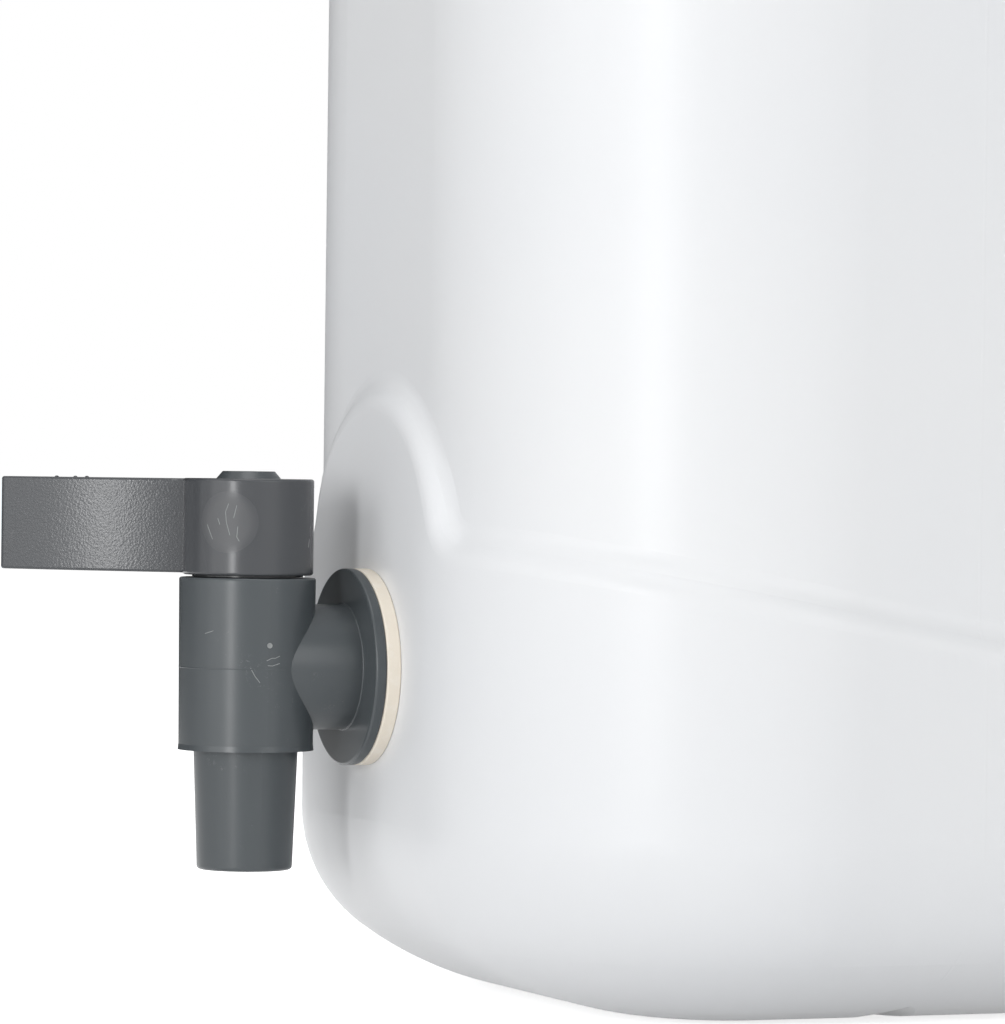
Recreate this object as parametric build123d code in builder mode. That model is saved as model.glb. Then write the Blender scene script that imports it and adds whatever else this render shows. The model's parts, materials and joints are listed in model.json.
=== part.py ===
"""Ten-litre carboy with a lever spigot, in millimetres.

The vessel is one blow-moulded shell of natural HDPE with a screw cap. The spigot is a
moulded polypropylene tap: its threaded shank passes through the vessel's flat pad and is
drawn up by a backnut, and its plug turns in the barrel when the lever is swung.

+Z is up. The origin is on the floor, on the vessel's axis. The spigot points along -Y and
the mould's parting plane is y = 0.
"""
from build123d import *
import os
from math import atan2, cos, hypot, pi, radians, sin, sqrt, tan

# Vessel: a rounded square in plan, with a lower section that stands proud.
WALL = 2.6
NEAR = 0.1                 # how close an edge lies to where it is looked for
ON_WALL = 0.01             # how close a point lies to a wall that it is on
UPRIGHT = 0.9999           # vertical share of the direction of an upright edge
MAIN_HALF = 104.5          # half of the side of the upper wall
MAIN_CORNER = 75.0         # corner radius of the upper wall
BASE_PROUD = 4.0           # how far the lower section stands out
BASE_CORNER = 77.7         # corner radius of the lower section
HEEL_IN = 36.4             # the heel slopes in from the wall to the floor ...
HEEL_UP = 27.0
HEEL_WALL_ROUND = 35.2     # ... and is rounded into both
HEEL_FLOOR_ROUND = 84.0
MAIN_START = 60.0          # the upper wall is drawn from here, inside the lower section
SHOULDER_TOP = 298.0
SHOULDER_RADIUS = 56.0
PUSH_UP_RADIUS = 24.0      # shallow dome in the middle of the floor
PUSH_UP_TAPER = 8.0
PUSH_UP_DEPTH = 2.5
RELIEF_START = 32.0        # the floor's two reliefs at the parting line begin here
RELIEF_RISE = 0.12         # their rise outwards
RELIEF_SIDE = 0.3          # the slope of their sides

# Ledge: a sloping plane cuts the lower section, and rises over the tap in an arch. Its
# edge is bevelled and rounded into both walls.
LEDGE_Z = 95.0             # height on the axis, before the bevel
LEDGE_SLOPE = 0.183        # rise towards -Y
ARCH_RADIUS = 46.5
ARCH_Z = 103.8
ARCH_DEPTH = 70.0
ARCH_CORNER = 6.0          # rounding between the arch and the ledge
ARCH_CORNER_BAND = 8.0     # zone beside the arch in which its corners lie
LEDGE_BEVEL = 6.0
LEDGE_ROUND = 6.4          # from the bevel into either wall

# Neck and cap
NECK_RADIUS = 30.0
NECK_BORE = 26.0
NECK_TOP = 354.0
NECK_HOLLOW = 8.0
NECK_BEAD_RADIUS = 33.0
NECK_BEAD_Z = 331.0
NECK_BEAD_HEIGHT = 4.0
NECK_RIM_ROUND = 0.8
CAP_RADIUS = 36.0
CAP_BORE = 32.2
CAP_SKIRT_Z = 337.0
CAP_TOP_WALL = 4.0
CAP_TOP_ROUND = 2.5
CAP_RIBS = 48
CAP_RIB_DEPTH = 0.8
CAP_RIB_WIDTH = 1.7
CAP_RIB_HEIGHT = 18.0
LINER_RADIUS = 31.4
LINER_THICKNESS = 2.0
CAP_TOP_Z = NECK_TOP + LINER_THICKNESS + CAP_TOP_WALL

# Handles: two loops in the parting plane, from the neck to the shoulder.
HANDLE_WIDTH = 15.0
HANDLE_TOP_Z = 332.0
HANDLE_GRIP_Z = 319.0
HANDLE_OUTER_X = 90.0
HANDLE_INNER_X = 76.0
HANDLE_ROOT_Z = 250.0
HANDLE_NECK_X = 38.0
HANDLE_BEND = 17.0
HANDLE_EDGE = 3.5
HANDLE_ROOT_X = 22.0       # the end buried in the neck
HANDLE_GUSSET = 10.0

# Tap: placed on the vessel's flat pad.
PAD_Y = -(MAIN_HALF + BASE_PROUD)
TAP_Z = 80.9               # height of the shank and arm
WALL_HOLE = 13.5
GASKET_RADIUS = 23.2
GASKET_HOLE = 13.4
GASKET_THICKNESS = 3.5
FLANGE_Y = PAD_Y - GASKET_THICKNESS
GASKET_ROUND = 0.5
FLANGE_THICKNESS = 2.8
FLANGE_ROUND = 0.6
ARM_RADIUS = 14.75
ARM_ROOT_ROUND = 0.3       # where the arm leaves the flange
WATERWAY = 9.0
SHANK_RADIUS = 13.2
SHANK_END_Y = -90.0
BARREL_Y = PAD_Y - 30.1
BARREL_TOP_RADIUS = 16.0   # the barrel's outside has a slight draft ...
BARREL_FOOT_RADIUS = 15.75
BARREL_LIP_RADIUS = 15.9   # ... and flares a little at its lower rim
BARREL_LIP_HEIGHT = 1.4
BARREL_BOTTOM = TAP_Z - 19.3
BARREL_TOP = TAP_Z + 21.0
BARREL_BORE = 12.5
BARREL_ROOF = 4.0
BARREL_ROUND = 0.5
EYE_RADIUS = 8.0           # hole for the spindle in the barrel's roof
INNER_GASKET_RADIUS = 20.0
INNER_GASKET_THICKNESS = 2.5
INNER_GASKET_Y = PAD_Y + WALL + INNER_GASKET_THICKNESS
NUT_FLATS = 36.0
NUT_COLLAR_RADIUS = 20.0
NUT_COLLAR = 2.5
NUT_THICKNESS = 9.0
NUT_CHAMFER = 1.2
NUT_Y = INNER_GASKET_Y + NUT_THICKNESS

# Plug: core, nozzle and spindle in one moulding.
RUNNING = 0.05             # radial clearance of the turning fits
ROOF_GAP = 0.3             # between the plug's core and the barrel's roof
CORE_RADIUS = BARREL_BORE - RUNNING
CORE_TOP = BARREL_TOP - BARREL_ROOF - ROOF_GAP
CORE_BORE = 8.0
PORT_RADIUS = 7.4
NOZZLE_TOP_RADIUS = 12.2
NOZZLE_END_RADIUS = 11.15
NOZZLE_LENGTH = 28.0
NOZZLE_END_Z = BARREL_BOTTOM - NOZZLE_LENGTH
NOZZLE_BORE = 9.0
NOZZLE_ROUND = 0.9
GROOVE_RADIUS = 10.4
GROOVE_HEIGHT = 2.6
GROOVE_LOW_Z = TAP_Z - 13.5
GROOVE_HIGH_Z = TAP_Z + 12.5
O_RING_SECTION = 0.98
O_RING_SEAT = 0.02         # between a seal and the bottom of its groove
DRIVE_RADIUS = 6.7         # the spindle inside the lever's head
DRIVE_FLAT = 5.6           # from the axis to each of its two flats
CONE_BASE_RADIUS = 7.6
CONE_TOP_RADIUS = 6.1
CONE_HEIGHT = 1.75
CONE_ROUND = 0.4

# Lever
REST_TURN = -32.0          # degrees that the lever stands off the straight-out line
HEAD_RADIUS = 15.35
HEAD_BOTTOM = BARREL_TOP + 0.6
HEAD_TOP = HEAD_BOTTOM + 22.5
HEAD_ROUND = 0.7
GAP_RING_RADIUS = 13.0
GAP_RING_BOTTOM = BARREL_TOP + 0.2   # a low collar that carries the head
LEVER_REACH = 58.9
LEVER_ROOT = 11.0          # the blade starts inside the head
LEVER_MIDDLE = 36.0
LEVER_ROOT_HALF = 3.8      # the blade is leaf-shaped in plan
LEVER_MIDDLE_HALF = 5.7
LEVER_TIP_HALF = 3.6
LEVER_LOW = HEAD_BOTTOM + 0.25
LEVER_HIGH = HEAD_TOP - 0.1
LEVER_DRAFT = 0.4          # rise of its underside from the head to the tip
LEVER_TIP_ROUND = 1.2
LEVER_EDGE = 0.6


def outline_gap(point, half, corner):
    """How far a point lies outside a rounded square, in plan."""
    straight = half - corner
    side_x = max(abs(point.X) - straight, 0)
    side_y = max(abs(point.Y) - straight, 0)
    return hypot(side_x, side_y) - corner


def ledge_edges(edges, half, corner):
    """The edges that run round a rounded square between the heel and the shoulder."""
    chosen = []
    for edge in edges:
        points = [edge @ step for step in (0, 0.25, 0.5, 0.75, 1)]
        level = abs((edge % 0.5).Z) < UPRIGHT
        on_wall = all(abs(outline_gap(p, half, corner)) < ON_WALL for p in points)
        in_zone = all(MAIN_START + WALL < p.Z < ARCH_Z + ARCH_RADIUS + WALL for p in points)
        if on_wall and in_zone and level:
            chosen.append(edge)
    return chosen


def vessel_form(inset):
    """The vessel's outer form, or its inner one when every face is set in by the wall."""
    main_half = MAIN_HALF - inset
    main_corner = MAIN_CORNER - inset
    base_half = main_half + BASE_PROUD
    base_corner = BASE_CORNER - inset
    reach = 2 * MAIN_HALF
    # A slope set in by the wall is shorter by what its two corners take.
    wall_turn = atan2(HEEL_IN, HEEL_UP)
    corner_loss = tan(wall_turn / 2) + tan((pi / 2 - wall_turn) / 2)
    heel_scale = 1 - inset * corner_loss / hypot(HEEL_IN, HEEL_UP)
    # A bevel at 45 degrees set in by the wall keeps its width and drops by this much.
    ledge_drop = inset * (sqrt(2) - 1)

    with BuildPart() as zone:
        with BuildSketch(Plane.YZ.offset(-reach)):
            with BuildLine():
                Polyline(
                    (-reach, 0),
                    (reach, 0),
                    (reach, LEDGE_Z - ledge_drop - LEDGE_SLOPE * reach),
                    (-reach, LEDGE_Z - ledge_drop + LEDGE_SLOPE * reach),
                    close=True,
                )
            make_face()
        extrude(amount=2 * reach)
        with BuildSketch(Plane.XZ.offset(ARCH_DEPTH)):
            with Locations((0, ARCH_Z)):
                Circle(ARCH_RADIUS - ledge_drop)
        extrude(amount=reach - ARCH_DEPTH)
        corners = [
            edge
            for edge in zone.edges()
            if ARCH_RADIUS - ledge_drop - ARCH_CORNER_BAND < abs((edge @ 0.5).X) < ARCH_RADIUS
            and (edge @ 0).Z > ARCH_Z - ARCH_CORNER_BAND
            and abs((edge @ 0).Y - (edge @ 1).Y) > ARCH_RADIUS
        ]
        fillet(corners, ARCH_CORNER + inset)

    with BuildPart() as base_section:
        with BuildSketch(Plane.XY.offset(inset)):
            RectangleRounded(2 * base_half, 2 * base_half, base_corner)
        extrude(amount=ARCH_Z + 2 * ARCH_RADIUS)
        floor = base_section.faces().sort_by(Axis.Z)[0]
        chamfer(floor.edges(), HEEL_IN * heel_scale, HEEL_UP * heel_scale, reference=floor)
        fillet(base_section.edges().group_by(Axis.Z)[0], HEEL_FLOOR_ROUND - inset)
        upper_loop = base_section.edges().filter_by_position(
            Axis.Z, inset + HEEL_UP * heel_scale - NEAR, inset + HEEL_UP * heel_scale + NEAR
        )
        fillet(upper_loop, HEEL_WALL_ROUND - inset)
        add(zone.part, mode=Mode.INTERSECT)
        chamfer(ledge_edges(base_section.edges(), base_half, base_corner), LEDGE_BEVEL)
        fillet(ledge_edges(base_section.edges(), base_half, base_corner), LEDGE_ROUND - inset)

    ridge = RELIEF_RISE * (reach - RELIEF_START)
    with BuildPart() as relief:
        with BuildSketch(Plane.YZ.offset(reach)):
            with BuildLine():
                Polyline(
                    (-ridge / RELIEF_SIDE, inset),
                    (0, inset + ridge),
                    (ridge / RELIEF_SIDE, inset),
                    close=True,
                )
            make_face()
        extrude(amount=2 * reach, dir=(-1, 0, -RELIEF_RISE))

    with BuildPart() as form:
        with BuildSketch(Plane.XY.offset(MAIN_START)):
            RectangleRounded(2 * main_half, 2 * main_half, main_corner)
        extrude(amount=SHOULDER_TOP - inset - MAIN_START)
        fillet(form.edges().group_by(Axis.Z)[-1], SHOULDER_RADIUS - inset)
        add(base_section.part)
        fillet(ledge_edges(form.edges(), main_half, main_corner), LEDGE_ROUND)
        with Locations((0, 0, inset)):
            Cone(
                PUSH_UP_RADIUS + inset,
                PUSH_UP_RADIUS + inset - PUSH_UP_TAPER,
                PUSH_UP_DEPTH,
                align=(Align.CENTER, Align.CENTER, Align.MIN),
                mode=Mode.SUBTRACT,
            )
        add([relief.part, mirror(relief.part, about=Plane.YZ, mode=Mode.PRIVATE)], mode=Mode.SUBTRACT)
    return form.part


def tap_level(z, turn=0.0):
    """A level plane centred on the barrel's axis, turned about it in degrees."""
    x_dir = (cos(radians(turn)), sin(radians(turn)), 0)
    return Plane(origin=(0, BARREL_Y, z), x_dir=x_dir, z_dir=(0, 0, 1))


def pad_plane(y):
    """An upright plane on the tap's arm, facing away from the vessel."""
    return Plane(origin=(0, y, TAP_Z), x_dir=(1, 0, 0), z_dir=(0, -1, 0))


def washer(y, radius, hole, thickness):
    """A flat ring round the tap's shank that starts at y and grows towards -Y."""
    with BuildPart() as ring:
        with BuildSketch(pad_plane(y)):
            Circle(radius)
            Circle(hole, mode=Mode.SUBTRACT)
        extrude(amount=thickness)
    return ring.part


def o_ring(z):
    """A round-section seal in one of the plug's grooves."""
    with BuildPart() as ring:
        with Locations((0, BARREL_Y, z)):
            Torus(GROOVE_RADIUS + O_RING_SECTION + O_RING_SEAT, O_RING_SECTION)
    return ring.part


# ---- Vessel: the outer form with neck and handles, less the inner form.
outer_form = vessel_form(0)
inner_form = vessel_form(WALL)

with BuildPart() as handle:
    with BuildSketch(Plane.XZ) as handle_side:
        with BuildLine():
            FilletPolyline(
                (HANDLE_NECK_X, HANDLE_TOP_Z),
                (HANDLE_OUTER_X, HANDLE_TOP_Z),
                (HANDLE_OUTER_X, HANDLE_ROOT_Z),
                radius=HANDLE_BEND + HANDLE_OUTER_X - HANDLE_INNER_X,
            )
            Line((HANDLE_OUTER_X, HANDLE_ROOT_Z), (HANDLE_INNER_X, HANDLE_ROOT_Z))
            FilletPolyline(
                (HANDLE_INNER_X, HANDLE_ROOT_Z),
                (HANDLE_INNER_X, HANDLE_GRIP_Z),
                (HANDLE_NECK_X, HANDLE_GRIP_Z),
                radius=HANDLE_BEND,
            )
            Polyline(
                (HANDLE_NECK_X, HANDLE_GRIP_Z),
                (HANDLE_ROOT_X, HANDLE_GRIP_Z - HANDLE_GUSSET),
                (HANDLE_ROOT_X, HANDLE_TOP_Z),
                (HANDLE_NECK_X, HANDLE_TOP_Z),
            )
        make_face()
    extrude(amount=HANDLE_WIDTH / 2, both=True)
    sides = handle.faces().filter_by(Axis.Y)
    fillet(sides.edges(), HANDLE_EDGE)

with BuildPart() as vessel:
    add(outer_form)
    with BuildSketch(Plane.XY.offset(SHOULDER_TOP - WALL)):
        Circle(NECK_RADIUS)
    extrude(amount=NECK_TOP - SHOULDER_TOP + WALL)
    neck_root = vessel.edges().filter_by(GeomType.CIRCLE).filter_by_position(
        Axis.Z, SHOULDER_TOP - NEAR, SHOULDER_TOP + NEAR
    )
    fillet(neck_root.filter_by(lambda edge: abs(edge.radius - NECK_RADIUS) < NEAR), NECK_HOLLOW)
    with BuildSketch(Plane.XY.offset(NECK_BEAD_Z)):
        Circle(NECK_BEAD_RADIUS)
    extrude(amount=NECK_BEAD_HEIGHT)
    add([handle.part, mirror(handle.part, about=Plane.YZ, mode=Mode.PRIVATE)])
    add(inner_form, mode=Mode.SUBTRACT)
    with BuildSketch(Plane.XY.offset(NECK_TOP)):
        Circle(NECK_BORE)
    extrude(amount=SHOULDER_TOP - SHOULDER_RADIUS - NECK_TOP, mode=Mode.SUBTRACT)
    with BuildSketch(pad_plane(PAD_Y + 2 * WALL)):
        Circle(WALL_HOLE)
    extrude(amount=4 * WALL, mode=Mode.SUBTRACT)
    fillet(vessel.faces().sort_by(Axis.Z)[-1].edges(), NECK_RIM_ROUND)
vessel.part.label = "vessel"

# ---- Cap and liner
with BuildPart() as cap:
    with BuildSketch(Plane.XY.offset(CAP_SKIRT_Z)):
        Circle(CAP_RADIUS)
    extrude(amount=CAP_TOP_Z - CAP_SKIRT_Z)
    fillet(cap.edges().group_by(Axis.Z)[-1], CAP_TOP_ROUND)
    with BuildSketch(Plane.XY.offset(CAP_SKIRT_Z)):
        with PolarLocations(CAP_RADIUS, CAP_RIBS):
            Rectangle(2 * CAP_RIB_DEPTH, CAP_RIB_WIDTH)
    extrude(amount=CAP_RIB_HEIGHT)
    with BuildSketch(Plane.XY.offset(CAP_SKIRT_Z)):
        Circle(CAP_BORE)
    extrude(amount=NECK_TOP + LINER_THICKNESS - CAP_SKIRT_Z, mode=Mode.SUBTRACT)
cap.part.label = "cap"

with BuildPart() as cap_liner:
    with BuildSketch(Plane.XY.offset(NECK_TOP)):
        Circle(LINER_RADIUS)
    extrude(amount=LINER_THICKNESS)
cap_liner.part.label = "cap_liner"

# ---- Tap body: shank, flange, arm and barrel in one moulding.
with BuildPart() as tap_body:
    with BuildSketch(pad_plane(FLANGE_Y)):
        Circle(GASKET_RADIUS)
    extrude(amount=FLANGE_THICKNESS)
    fillet(tap_body.edges(), FLANGE_ROUND)
    with BuildSketch(pad_plane(FLANGE_Y - FLANGE_THICKNESS)):
        Circle(ARM_RADIUS)
    extrude(amount=FLANGE_Y - FLANGE_THICKNESS - BARREL_Y)
    flange_face = FLANGE_Y - FLANGE_THICKNESS
    arm_root = tap_body.edges().filter_by_position(Axis.Y, flange_face - NEAR, flange_face + NEAR)
    fillet(arm_root.sort_by(SortBy.RADIUS)[0], ARM_ROOT_ROUND)
    with BuildSketch(pad_plane(SHANK_END_Y)):
        Circle(SHANK_RADIUS)
    extrude(amount=SHANK_END_Y - FLANGE_Y)
    with Locations(tap_level(BARREL_BOTTOM)):
        Cone(
            BARREL_FOOT_RADIUS,
            BARREL_TOP_RADIUS,
            BARREL_TOP - BARREL_BOTTOM,
            align=(Align.CENTER, Align.CENTER, Align.MIN),
        )
        Cone(
            BARREL_LIP_RADIUS,
            BARREL_FOOT_RADIUS,
            BARREL_LIP_HEIGHT,
            align=(Align.CENTER, Align.CENTER, Align.MIN),
        )
    with BuildSketch(pad_plane(SHANK_END_Y)):
        Circle(WATERWAY)
    extrude(amount=SHANK_END_Y - BARREL_Y, mode=Mode.SUBTRACT)
    with BuildSketch(tap_level(BARREL_BOTTOM)):
        Circle(BARREL_BORE)
    extrude(amount=BARREL_TOP - BARREL_ROOF - BARREL_BOTTOM, mode=Mode.SUBTRACT)
    with BuildSketch(tap_level(BARREL_BOTTOM)):
        Circle(EYE_RADIUS)
    extrude(amount=BARREL_TOP - BARREL_BOTTOM, mode=Mode.SUBTRACT)
    top_rim = tap_body.edges().filter_by(GeomType.CIRCLE).group_by(Axis.Z)[-1].sort_by(SortBy.RADIUS)[-1]
    fillet(top_rim, BARREL_ROUND)
tap_body.part.label = "tap_body"

# ---- Plug: one turned profile, with a drive section and a snap cone on its spindle.
with BuildPart() as tap_plug:
    with BuildSketch(Plane(origin=(0, BARREL_Y, 0), x_dir=(1, 0, 0), z_dir=(0, -1, 0))):
        with BuildLine():
            Polyline(
                (NOZZLE_BORE, NOZZLE_END_Z),
                (NOZZLE_END_RADIUS, NOZZLE_END_Z),
                (NOZZLE_TOP_RADIUS, BARREL_BOTTOM),
                (CORE_RADIUS, BARREL_BOTTOM),
                (CORE_RADIUS, GROOVE_LOW_Z - GROOVE_HEIGHT / 2),
                (GROOVE_RADIUS, GROOVE_LOW_Z - GROOVE_HEIGHT / 2),
                (GROOVE_RADIUS, GROOVE_LOW_Z + GROOVE_HEIGHT / 2),
                (CORE_RADIUS, GROOVE_LOW_Z + GROOVE_HEIGHT / 2),
                (CORE_RADIUS, GROOVE_HIGH_Z - GROOVE_HEIGHT / 2),
                (GROOVE_RADIUS, GROOVE_HIGH_Z - GROOVE_HEIGHT / 2),
                (GROOVE_RADIUS, GROOVE_HIGH_Z + GROOVE_HEIGHT / 2),
                (CORE_RADIUS, GROOVE_HIGH_Z + GROOVE_HEIGHT / 2),
                (CORE_RADIUS, CORE_TOP),
                (EYE_RADIUS - RUNNING, CORE_TOP),
                (EYE_RADIUS - RUNNING, GAP_RING_BOTTOM),
                (0, GAP_RING_BOTTOM),
                (0, TAP_Z + CORE_BORE),
                (CORE_BORE, TAP_Z + CORE_BORE),
                (CORE_BORE, BARREL_BOTTOM),
                (NOZZLE_BORE, BARREL_BOTTOM),
                close=True,
            )
        make_face()
    revolve(axis=Axis((0, BARREL_Y, 0), (0, 0, 1)))
    fillet(tap_plug.edges().group_by(Axis.Z)[0].sort_by(SortBy.RADIUS)[-1], NOZZLE_ROUND)
    port_way = tap_level(TAP_Z, REST_TURN)
    with BuildSketch(Plane(port_way.origin, z_dir=port_way.y_dir)):
        Circle(PORT_RADIUS)
    extrude(amount=2 * BARREL_BORE, mode=Mode.SUBTRACT)
    with BuildSketch(tap_level(GAP_RING_BOTTOM, REST_TURN)):
        Circle(DRIVE_RADIUS)
        Rectangle(2 * DRIVE_FLAT, 2 * DRIVE_RADIUS, mode=Mode.INTERSECT)
    extrude(amount=HEAD_TOP - GAP_RING_BOTTOM)
    with Locations(tap_level(HEAD_TOP)):
        Cone(
            CONE_BASE_RADIUS,
            CONE_TOP_RADIUS,
            CONE_HEIGHT,
            align=(Align.CENTER, Align.CENTER, Align.MIN),
        )
    fillet(tap_plug.edges().group_by(Axis.Z)[-1], CONE_ROUND)
tap_plug.part.label = "tap_plug"

# ---- Lever: a round head on the spindle and a flat blade.
with BuildPart() as blade:
    with BuildSketch(tap_level(LEVER_LOW, REST_TURN)) as blade_plan:
        with BuildLine():
            Line((LEVER_ROOT_HALF, -LEVER_ROOT), (-LEVER_ROOT_HALF, -LEVER_ROOT))
            ThreePointArc(
                (-LEVER_ROOT_HALF, -LEVER_ROOT),
                (-LEVER_MIDDLE_HALF, -LEVER_MIDDLE),
                (-LEVER_TIP_HALF, -LEVER_REACH),
            )
            Line((-LEVER_TIP_HALF, -LEVER_REACH), (LEVER_TIP_HALF, -LEVER_REACH))
            ThreePointArc(
                (LEVER_TIP_HALF, -LEVER_REACH),
                (LEVER_MIDDLE_HALF, -LEVER_MIDDLE),
                (LEVER_ROOT_HALF, -LEVER_ROOT),
            )
        make_face()
    extrude(amount=LEVER_HIGH - LEVER_LOW)
    lever_way = tap_level(0, REST_TURN)
    with BuildSketch(Plane(lever_way.origin, x_dir=-lever_way.y_dir, z_dir=-lever_way.x_dir)):
        with BuildLine():
            Polyline(
                (0, LEVER_LOW),
                (LEVER_REACH, LEVER_LOW),
                (LEVER_REACH, LEVER_LOW + LEVER_DRAFT),
                close=True,
            )
        make_face()
    extrude(amount=HEAD_RADIUS, both=True, mode=Mode.SUBTRACT)
    tip_corners = blade.edges().filter_by(Axis.Z).sort_by_distance((0, BARREL_Y, LEVER_LOW))[-2:]
    fillet(tip_corners, LEVER_TIP_ROUND)
    by_height = blade.faces().sort_by(Axis.Z)
    rims = by_height[0].edges() + by_height[-1].edges()
    fillet(rims.filter_by(lambda edge: edge.center().Y < BARREL_Y - HEAD_RADIUS), LEVER_EDGE)

with BuildPart() as lever:
    with BuildSketch(tap_level(HEAD_BOTTOM)):
        Circle(HEAD_RADIUS)
    extrude(amount=HEAD_TOP - HEAD_BOTTOM)
    fillet(lever.edges().filter_by(GeomType.CIRCLE), HEAD_ROUND)
    with BuildSketch(tap_level(GAP_RING_BOTTOM)):
        Circle(GAP_RING_RADIUS)
    extrude(amount=HEAD_BOTTOM - GAP_RING_BOTTOM)
    add(blade.part)
    with BuildSketch(tap_level(GAP_RING_BOTTOM, REST_TURN)):
        Circle(DRIVE_RADIUS)
        Rectangle(2 * DRIVE_FLAT, 2 * DRIVE_RADIUS, mode=Mode.INTERSECT)
    extrude(amount=HEAD_TOP - GAP_RING_BOTTOM, mode=Mode.SUBTRACT)
lever.part.label = "lever"

# ---- Seals and the backnut
with BuildPart() as backnut:
    with BuildSketch(pad_plane(NUT_Y)):
        RegularPolygon(NUT_FLATS / 2, 6, major_radius=False)
    extrude(amount=NUT_THICKNESS - NUT_COLLAR)
    chamfer(backnut.faces().sort_by(Axis.Y)[-1].edges(), NUT_CHAMFER)
    with BuildSketch(pad_plane(NUT_Y - NUT_THICKNESS + NUT_COLLAR)):
        Circle(NUT_COLLAR_RADIUS)
    extrude(amount=NUT_COLLAR)
    with BuildSketch(pad_plane(NUT_Y)):
        Circle(SHANK_RADIUS)
    extrude(amount=NUT_THICKNESS, mode=Mode.SUBTRACT)
backnut.part.label = "backnut"

with BuildPart() as flange_gasket:
    add(washer(PAD_Y, GASKET_RADIUS, GASKET_HOLE, GASKET_THICKNESS))
    outer_rims = flange_gasket.edges().filter_by(GeomType.CIRCLE).group_by(SortBy.RADIUS)[-1]
    fillet(outer_rims, GASKET_ROUND)
flange_gasket.part.label = "flange_gasket"
inner_gasket = washer(INNER_GASKET_Y, INNER_GASKET_RADIUS, GASKET_HOLE, INNER_GASKET_THICKNESS)
inner_gasket.label = "inner_gasket"
o_ring_lower = o_ring(GROOVE_LOW_Z)
o_ring_lower.label = "o_ring_lower"
o_ring_upper = o_ring(GROOVE_HIGH_Z)
o_ring_upper.label = "o_ring_upper"

os.makedirs("parts", exist_ok=True)
pieces = [vessel.part, cap.part, cap_liner.part, tap_body.part, tap_plug.part, lever.part]
pieces += [backnut.part, flange_gasket.part, inner_gasket, o_ring_lower, o_ring_upper]
for piece in pieces:
    export_step(piece, f"parts/{piece.label}.step")
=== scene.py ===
"""Looks for a ten-litre carboy with a lever spigot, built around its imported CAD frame.

The CAD nodes keep their shapes and get their finishes here. The script adds what is too
fine for the solids: the screw threads, the mould's seams and pinch-off welds, the tap's
gate mark, parting line, nibs and scores, and then the studio. Lengths in the code are
metres and angles are degrees, apart from names that end in _mm.
"""

import json
import logging
import math
from dataclasses import dataclass
from enum import Enum
from typing import Any, Callable, Iterable, Sequence

import bmesh
import bpy
from mathutils import Matrix, Vector
from mathutils.bvhtree import BVHTree

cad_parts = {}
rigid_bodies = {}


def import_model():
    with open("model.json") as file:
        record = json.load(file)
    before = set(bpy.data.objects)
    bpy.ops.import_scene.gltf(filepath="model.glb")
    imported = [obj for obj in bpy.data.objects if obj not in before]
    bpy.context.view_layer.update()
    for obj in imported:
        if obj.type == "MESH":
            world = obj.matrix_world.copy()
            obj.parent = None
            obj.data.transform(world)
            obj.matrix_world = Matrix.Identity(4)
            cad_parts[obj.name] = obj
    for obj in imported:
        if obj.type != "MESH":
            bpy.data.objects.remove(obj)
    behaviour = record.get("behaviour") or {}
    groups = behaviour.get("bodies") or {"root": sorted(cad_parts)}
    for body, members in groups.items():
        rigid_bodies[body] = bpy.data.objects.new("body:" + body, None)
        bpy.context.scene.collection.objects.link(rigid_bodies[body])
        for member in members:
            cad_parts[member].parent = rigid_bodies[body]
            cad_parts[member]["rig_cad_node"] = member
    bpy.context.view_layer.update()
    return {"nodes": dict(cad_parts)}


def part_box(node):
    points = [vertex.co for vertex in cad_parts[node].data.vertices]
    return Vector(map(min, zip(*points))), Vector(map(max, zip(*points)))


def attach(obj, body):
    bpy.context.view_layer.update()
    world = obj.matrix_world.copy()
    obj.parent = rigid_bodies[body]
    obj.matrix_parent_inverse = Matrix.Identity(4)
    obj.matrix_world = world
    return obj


log = logging.getLogger("carboy")

MM = 0.001
FULL_TURN = 2 * math.pi
UP = Vector((0, 0, 1))
SQUARE = ((-1, -1), (1, -1), (1, 1), (-1, 1))

# The Mix node's colour sockets share their names with others, so they go by number.
MIX_A = 6
MIX_B = 7
MIXED = 2


class Body(Enum):
    """The frame's moving bodies that carry pieces of this script."""

    VESSEL = "vessel"
    PLUG = "tap_plug"
    CAP = "cap"


class Slot(Enum):
    """The record's material slots."""

    VESSEL = "vessel_hdpe"
    CAP = "cap_pp"
    LINER = "liner_foam"
    TAP = "tap_pp"
    LEVER = "lever_pp"
    GASKET = "gasket_silicone"
    O_RING = "o_ring_rubber"


def linear(hex_colour: str) -> tuple[float, float, float, float]:
    """Turns an sRGB hex colour into Blender's linear RGBA.

    Args:
        hex_colour: a colour such as "#5B5F62".

    Returns:
        The linear red, green, blue and an alpha of 1.
    """
    digits = hex_colour.lstrip("#")
    channels = []
    for start in (0, 2, 4):
        value = int(digits[start:start + 2], 16) / 255
        low = value / 12.92
        high = ((value + 0.055) / 1.055) ** 2.4
        channels.append(low if value <= 0.04045 else high)
    return (channels[0], channels[1], channels[2], 1.0)


def add_node(
    tree: bpy.types.NodeTree,
    kind: str,
    settings: dict[str | int, Any] | None = None,
    links: dict[str | int, bpy.types.NodeSocket] | None = None,
) -> bpy.types.Node:
    """Adds a node and sets and links it in one go.

    Args:
        tree: the node tree that gets the node.
        kind: the node's Blender type, such as "ShaderNodeBump".
        settings: property names, input names or input numbers, with their values.
        links: input names or input numbers, with the output sockets that feed them.

    Returns:
        The new node.
    """
    node = tree.nodes.new(kind)
    for key, value in (settings or {}).items():
        if isinstance(key, str) and hasattr(node, key):
            setattr(node, key, value)
        else:
            node.inputs[key].default_value = value
    for key, socket in (links or {}).items():
        tree.links.new(socket, node.inputs[key])
    return node


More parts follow.
